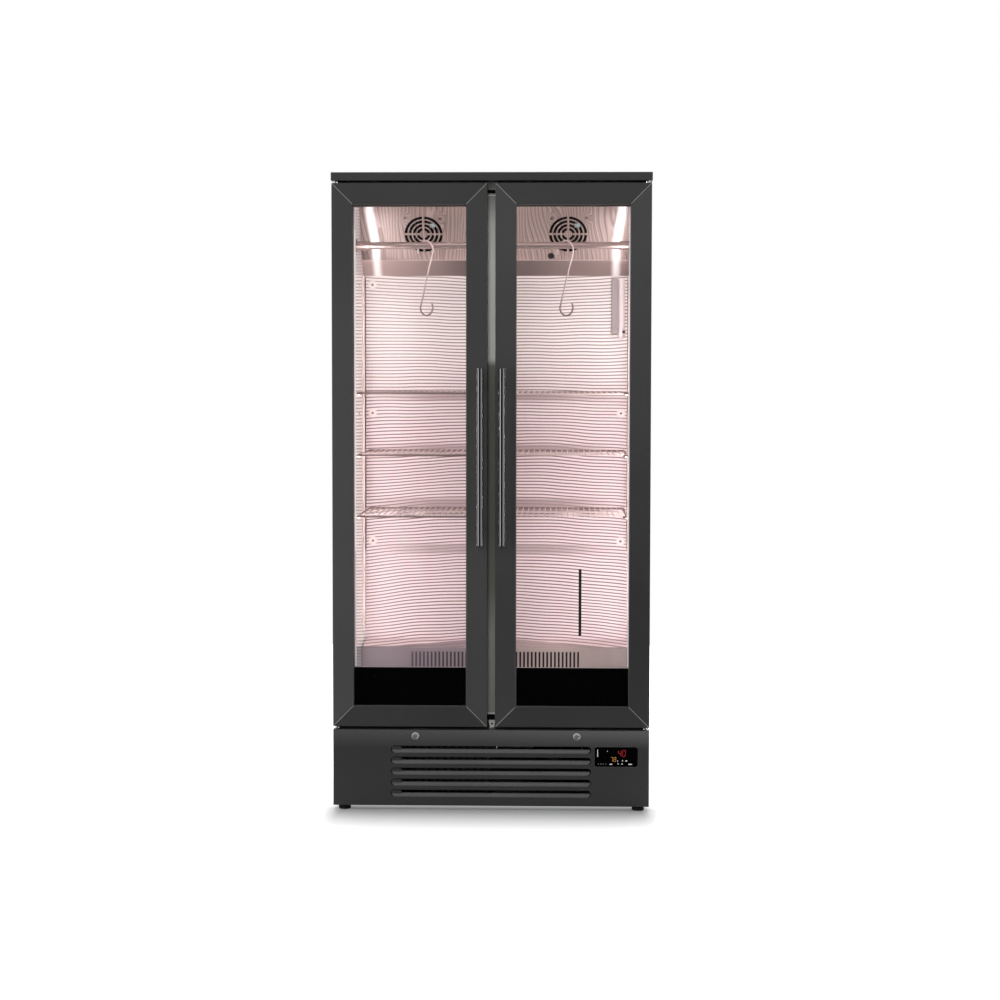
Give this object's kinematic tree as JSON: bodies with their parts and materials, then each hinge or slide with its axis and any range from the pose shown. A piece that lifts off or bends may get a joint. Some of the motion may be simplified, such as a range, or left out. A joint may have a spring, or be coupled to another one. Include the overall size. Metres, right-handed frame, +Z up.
{
  "type": "dry aging cabinet",
  "caption": "Tall black dry aging cabinet with two glass doors, a hanging rail with hooks, wire shelves, air cooler, lights and a louvred machine room.",
  "frame": {"origin": "middle of the outline, handles included, on the floor under the feet", "axes": "+Z up, -Y out of the doors towards the user, +X to the user's right"},
  "size_m": [0.9, 0.605, 1.8],
  "materials": {
    "painted_steel": "satin",
    "frame_aluminium": "matte",
    "stainless": "satin",
    "zinc_steel": "matte",
    "chrome": "polished",
    "aluminium": "satin",
    "foam": "matte",
    "rubber": "matte",
    "black_plastic": "satin",
    "black_steel": "satin",
    "black_glass": "gloss",
    "grey_plastic": "satin",
    "light_cover": "satin",
    "glass": "gloss"
  },
  "bodies": {
    "cabinet": {"base_pan": "zinc_steel", "centre_mullion": "aluminium", "compressor": "black_steel", "condenser_coil": "aluminium", "condenser_fan_shroud": "black_plastic", "controller": "black_glass", "door_header": "painted_steel", "evaporator_coil": "aluminium", "evaporator_cover": "stainless", "evaporator_fan_motor_left": "black_plastic", "evaporator_fan_motor_right": "black_plastic", "foot_front_left": "rubber", "foot_front_right": "rubber", "foot_rear_left": "rubber", "foot_rear_right": "rubber", "germ_lamp": "grey_plastic", "hanging_rail": "stainless", "hinge_bracket_left_lower": "chrome", "hinge_bracket_left_upper": "chrome", "hinge_bracket_right_lower": "chrome", "hinge_bracket_right_upper": "chrome", "insulation": "foam", "kick_panel": "painted_steel", "led_strip_left": "light_cover", "led_strip_right": "light_cover", "liner": "stainless", "rear_panel": "zinc_steel", "return_air_cover": "stainless", "shelf_upright_front_left": "stainless", "shelf_upright_front_right": "stainless", "shelf_upright_rear_left": "stainless", "shelf_upright_rear_right": "stainless", "side_panel_left": "painted_steel", "side_panel_right": "painted_steel", "sill_deck": "painted_steel", "top_panel": "painted_steel"},
    "left_door": {"left_door_top_rail": "frame_aluminium", "left_door_bottom_rail": "frame_aluminium", "left_door_hinge_stile": "frame_aluminium", "left_door_handle_stile": "frame_aluminium", "left_door_glazing": "glass", "left_door_gasket": "rubber", "left_door_handle": "chrome"},
    "right_door": {"right_door_top_rail": "frame_aluminium", "right_door_bottom_rail": "frame_aluminium", "right_door_hinge_stile": "frame_aluminium", "right_door_handle_stile": "frame_aluminium", "right_door_glazing": "glass", "right_door_gasket": "rubber", "right_door_handle": "chrome"},
    "upper_shelf": {"shelf_upper": "chrome"},
    "middle_shelf": {"shelf_middle": "chrome"},
    "lower_shelf": {"shelf_lower": "chrome"},
    "left_hook": {"meat_hook_left": "chrome"},
    "right_hook": {"meat_hook_right": "chrome"},
    "left_lock": {"door_lock_left": "chrome"},
    "right_lock": {"door_lock_right": "chrome"},
    "left_cooler_rotor": {"evaporator_fan_left": "black_plastic"},
    "right_cooler_rotor": {"evaporator_fan_right": "black_plastic"},
    "condenser_rotor": {"condenser_fan": "black_plastic"}
  },
  "joints": [
    {"name": "left_door_swing", "type": "hinge", "parent": "cabinet", "child": "left_door", "pos_m": [-0.436, -0.2375, 0.2394], "axis": [0, 0, -1], "range_deg": [0, 110]},
    {"name": "right_door_swing", "type": "hinge", "parent": "cabinet", "child": "right_door", "pos_m": [0.436, -0.2375, 0.2394], "axis": [0, 0, 1], "range_deg": [0, 110]},
    {"name": "upper_shelf_lift", "type": "slide", "parent": "cabinet", "child": "upper_shelf", "axis": [0, 0, 1], "range_m": [0, 0.02]},
    {"name": "middle_shelf_lift", "type": "slide", "parent": "cabinet", "child": "middle_shelf", "axis": [0, 0, 1], "range_m": [0, 0.02]},
    {"name": "lower_shelf_lift", "type": "slide", "parent": "cabinet", "child": "lower_shelf", "axis": [0, 0, 1], "range_m": [0, 0.02]},
    {"name": "left_hook_swing", "type": "hinge", "parent": "cabinet", "child": "left_hook", "pos_m": [-0.2018, 0.0225, 1.612], "axis": [1, 0, 0], "range_deg": [-35, 35]},
    {"name": "right_hook_swing", "type": "hinge", "parent": "cabinet", "child": "right_hook", "pos_m": [0.2075, 0.0225, 1.612], "axis": [1, 0, 0], "range_deg": [-35, 35]},
    {"name": "left_lock_turn", "type": "hinge", "parent": "cabinet", "child": "left_lock", "pos_m": [-0.2139, -0.2575, 0.2126], "axis": [0, -1, 0], "range_deg": [0, 90]},
    {"name": "right_lock_turn", "type": "hinge", "parent": "cabinet", "child": "right_lock", "pos_m": [0.243, -0.2575, 0.2126], "axis": [0, -1, 0], "range_deg": [0, 90]},
    {"name": "left_cooler_fan_spin", "type": "hinge", "parent": "cabinet", "child": "left_cooler_rotor", "pos_m": [-0.2157, 0.15884, 1.65418], "axis": [0, -0.891, -0.454], "continuous": true},
    {"name": "right_cooler_fan_spin", "type": "hinge", "parent": "cabinet", "child": "right_cooler_rotor", "pos_m": [0.2157, 0.15884, 1.65418], "axis": [0, -0.891, -0.454], "continuous": true},
    {"name": "condenser_fan_spin", "type": "hinge", "parent": "cabinet", "child": "condenser_rotor", "pos_m": [-0.15, -0.1492, 0.1063], "axis": [0, -1, 0], "continuous": true}
  ]
}
